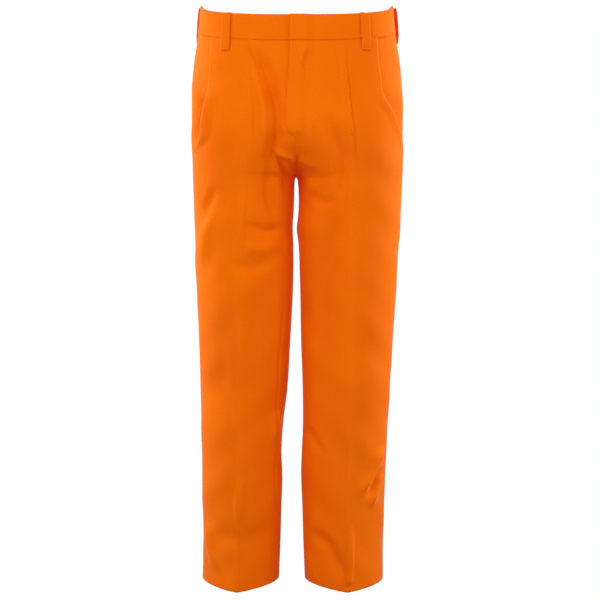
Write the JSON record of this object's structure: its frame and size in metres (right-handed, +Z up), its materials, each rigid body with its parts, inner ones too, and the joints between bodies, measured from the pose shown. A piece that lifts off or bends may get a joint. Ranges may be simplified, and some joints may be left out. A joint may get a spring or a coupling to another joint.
{
  "type": "work trousers",
  "caption": "Pleated orange work trousers standing as worn, with a zip fly, hook-and-bar waistband, belt loops, side pockets and a hip pocket.",
  "frame": {"origin": "centre of the waist opening, level with the waistband's top edge at the side seams", "axes": "+Z up towards the waist, -Y out of the front, +X to the wearer's left"},
  "size_m": [0.3948, 0.2745, 1.075],
  "materials": {
    "orange_cloth": "matte orange twill",
    "lining_cloth": "plain cream pocketing",
    "zip_tape": "woven orange tape",
    "zip_brass": "satin",
    "clasp_steel": "satin",
    "button": "satin",
    "label": "blank woven label"
  },
  "bodies": {
    "root": {"front_panel_left": "orange_cloth", "front_panel_right": "orange_cloth", "back_panel_left": "orange_cloth", "back_panel_right": "orange_cloth", "hem_left": "orange_cloth", "hem_right": "orange_cloth", "waistband_left": "orange_cloth", "waistband_right": "orange_cloth", "waistband_underlap": "orange_cloth", "fly_overlap": "orange_cloth", "fly_facing": "orange_cloth", "fly_shield": "orange_cloth", "pocket_facing_left": "orange_cloth", "pocket_facing_right": "orange_cloth", "hip_pocket": "orange_cloth", "belt_loop_front_left": "orange_cloth", "belt_loop_front_right": "orange_cloth", "belt_loop_side_left": "orange_cloth", "belt_loop_side_right": "orange_cloth", "belt_loop_back_left": "orange_cloth", "belt_loop_back_right": "orange_cloth", "belt_loop_centre_back": "orange_cloth", "waistband_lining_left": "lining_cloth", "waistband_lining_right": "lining_cloth", "pocket_bag_front_left": "lining_cloth", "pocket_bag_front_right": "lining_cloth", "pocket_bag_back_left": "lining_cloth", "pocket_bag_back_right": "lining_cloth", "zip_teeth_left": "zip_brass", "zip_teeth_right": "zip_brass", "zip_top_stop_left": "zip_brass", "zip_top_stop_right": "zip_brass", "zip_bottom_stop": "zip_brass", "zip_tape_left": "zip_tape", "zip_tape_right": "zip_tape", "waist_bar": "clasp_steel", "hip_pocket_button": "button", "care_label": "label"},
    "waist_tab": {"waistband_tab": "orange_cloth", "waist_hook": "clasp_steel"},
    "zip_slider": {"zip_slider": "zip_brass"},
    "zip_pull": {"zip_pull": "zip_brass"}
  },
  "joints": [
    {"name": "waist_tab_open", "type": "hinge", "parent": "root", "child": "waist_tab", "pos_m": [0.03, -0.1078, -0.0565], "axis": [0, 0, 1], "range_deg": [0, 95], "deforming": ["fly_overlap"]},
    {"name": "zip_slide", "type": "slide", "parent": "root", "child": "zip_slider", "axis": [0, -0.1424, -0.9898], "range_m": [0, 0.0731]},
    {"name": "zip_pull_swing", "type": "hinge", "parent": "zip_slider", "child": "zip_pull", "pos_m": [0, -0.10733, -0.0936], "axis": [-1, 0, 0], "range_deg": [0, 10]}
  ]
}
